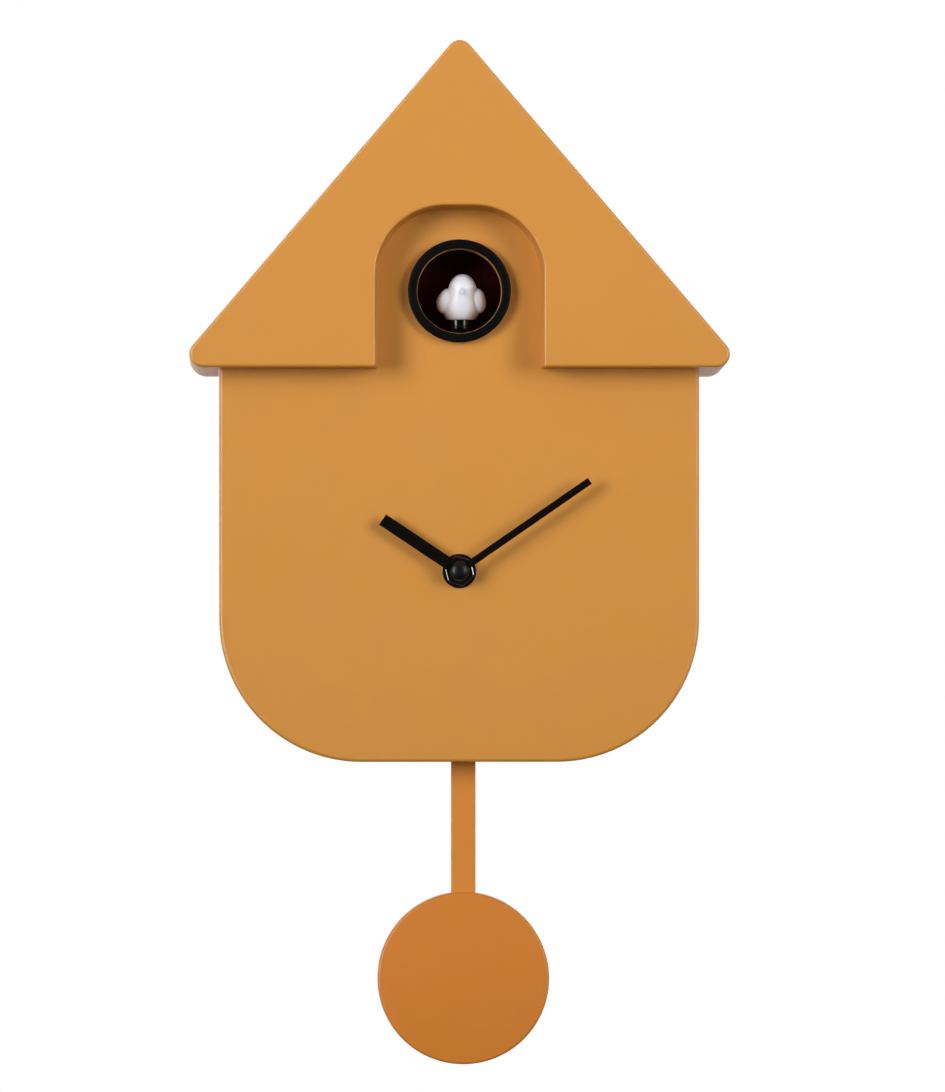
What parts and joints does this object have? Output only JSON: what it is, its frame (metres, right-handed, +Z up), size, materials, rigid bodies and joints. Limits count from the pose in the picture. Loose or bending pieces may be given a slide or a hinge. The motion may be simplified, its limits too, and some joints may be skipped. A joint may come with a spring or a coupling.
{
  "type": "cuckoo clock",
  "caption": "House-shaped wall clock: gable roof over a rounded body, bird behind a porthole, straight hands and a round-bob pendulum below.",
  "frame": {"origin": "centre of the keyhole in the hanger plate, on the wall plane", "axes": "+Z up, +X to the right seen from the front, +Y into the wall; the front faces -Y"},
  "size_m": [0.215, 0.08, 0.4044],
  "materials": {
    "orange_shell": "satin moulded ABS, curry orange",
    "black_plastic": "satin moulded ABS, black",
    "black_gloss": "glossy black",
    "black_paint": "flat black paint on sheet metal",
    "white_plastic": "satin white",
    "gear_plastic": "natural acetal",
    "zinc_steel": "zinc plated",
    "copper_wire": "enamelled copper winding",
    "magnet_iron": "sintered ferrite",
    "circuit_board": "green solder mask",
    "chip_plastic": "black epoxy",
    "cone_paper": "dark pressed paper",
    "cell_jacket": "printed steel jacket, plain",
    "lead_insulation": "flexible insulation",
    "washer_rubber": "soft black rubber",
    "sensor_lens": "dark clear lens"
  },
  "bodies": {
    "case": {"roof_cover": "orange_shell", "front_case": "orange_shell", "rear_cover": "black_plastic", "bird_chamber": "black_plastic", "porthole_ring": "black_plastic", "battery_box": "black_plastic", "pendulum_bracket": "black_plastic", "motor_bracket": "black_plastic", "slide_rail": "black_plastic", "switch_body": "black_plastic", "speaker_frame": "black_plastic", "movement_front_case": "black_plastic", "movement_rear_case": "black_plastic", "fixing_nut": "black_gloss", "hanger_plate": "zinc_steel", "hanger_screws": "zinc_steel", "roof_screws": "zinc_steel", "rear_screws": "zinc_steel", "board_screws": "zinc_steel", "rack_gear_axle": "zinc_steel", "minute_wheel_axle": "zinc_steel", "pendulum_pin": "zinc_steel", "step_stator": "zinc_steel", "bird_motor": "zinc_steel", "battery_springs": "zinc_steel", "battery_contacts": "zinc_steel", "step_coil": "copper_wire", "drive_coil": "copper_wire", "speaker_magnet": "magnet_iron", "sound_board": "circuit_board", "movement_board": "circuit_board", "sound_chips": "chip_plastic", "speaker_cone": "cone_paper", "batteries": "cell_jacket", "speaker_leads": "lead_insulation", "battery_leads": "lead_insulation", "motor_leads": "lead_insulation", "movement_washer": "washer_rubber", "light_sensor": "sensor_lens"},
    "bird_carriage": {"bird": "white_plastic", "bird_pedestal": "black_gloss", "bird_rack": "gear_plastic"},
    "rack_gear_body": {"rack_gear": "gear_plastic"},
    "motor_pinion_body": {"motor_pinion": "gear_plastic"},
    "minute_works": {"minute_hand": "black_paint", "minute_arbor": "gear_plastic", "hand_cap": "black_plastic"},
    "hour_works": {"hour_hand": "black_paint", "hour_wheel": "gear_plastic"},
    "minute_wheel_body": {"minute_wheel": "gear_plastic"},
    "setting_knob_body": {"setting_knob": "black_plastic"},
    "pendulum": {"pendulum_rod": "orange_shell", "bob_front": "orange_shell", "bob_back": "orange_shell", "bob_weight": "zinc_steel", "pendulum_arm": "black_plastic", "drive_magnet": "magnet_iron"},
    "battery_door_body": {"battery_door": "black_plastic"},
    "mode_switch_body": {"mode_switch": "black_plastic"}
  },
  "joints": [
    {"name": "minute_turn", "type": "hinge", "parent": "case", "child": "minute_works", "pos_m": [0, -0.068, -0.1648], "axis": [0, 1, 0], "continuous": true},
    {"name": "hour_turn", "type": "hinge", "parent": "case", "child": "hour_works", "pos_m": [0, -0.066, -0.1648], "axis": [0, 1, 0], "continuous": true},
    {"name": "minute_wheel_turn", "type": "hinge", "parent": "case", "child": "minute_wheel_body", "pos_m": [0.00848, -0.057, -0.15632], "axis": [0, 1, 0], "continuous": true},
    {"name": "setting_knob_turn", "type": "hinge", "parent": "case", "child": "setting_knob_body", "pos_m": [0.0064, -0.03, -0.1445], "axis": [0, 1, 0], "continuous": true},
    {"name": "pendulum_swing", "type": "hinge", "parent": "case", "child": "pendulum", "pos_m": [0.0018, -0.032, -0.178], "axis": [0, 1, 0], "range_deg": [-8, 8]},
    {"name": "bird_slide", "type": "slide", "parent": "case", "child": "bird_carriage", "axis": [0, -1, 0], "range_m": [0, 0.02]},
    {"name": "rack_gear_turn", "type": "hinge", "parent": "case", "child": "rack_gear_body", "pos_m": [0.0005, -0.026, -0.0745], "axis": [1, 0, 0], "range_deg": [0, 230]},
    {"name": "motor_turn", "type": "hinge", "parent": "case", "child": "motor_pinion_body", "pos_m": [0.008, -0.026, -0.0865], "axis": [1, 0, 0], "range_deg": [-690, 0]},
    {"name": "battery_door_swing", "type": "hinge", "parent": "case", "child": "battery_door_body", "pos_m": [0.054, -0.0013, -0.12265], "axis": [1, 0, 0], "range_deg": [0, 100]},
    {"name": "mode_switch_slide", "type": "slide", "parent": "case", "child": "mode_switch_body", "axis": [1, 0, 0], "range_m": [0, 0.004]}
  ],
  "couplings": [
    {"joint": "hour_turn", "follows": "minute_turn", "ratio": 0.083333},
    {"joint": "minute_wheel_turn", "follows": "minute_turn", "ratio": -0.33333},
    {"joint": "setting_knob_turn", "follows": "minute_turn", "ratio": 1},
    {"joint": "rack_gear_turn", "follows": "bird_slide", "rad_per_m": 200},
    {"joint": "motor_turn", "follows": "bird_slide", "rad_per_m": -600}
  ]
}
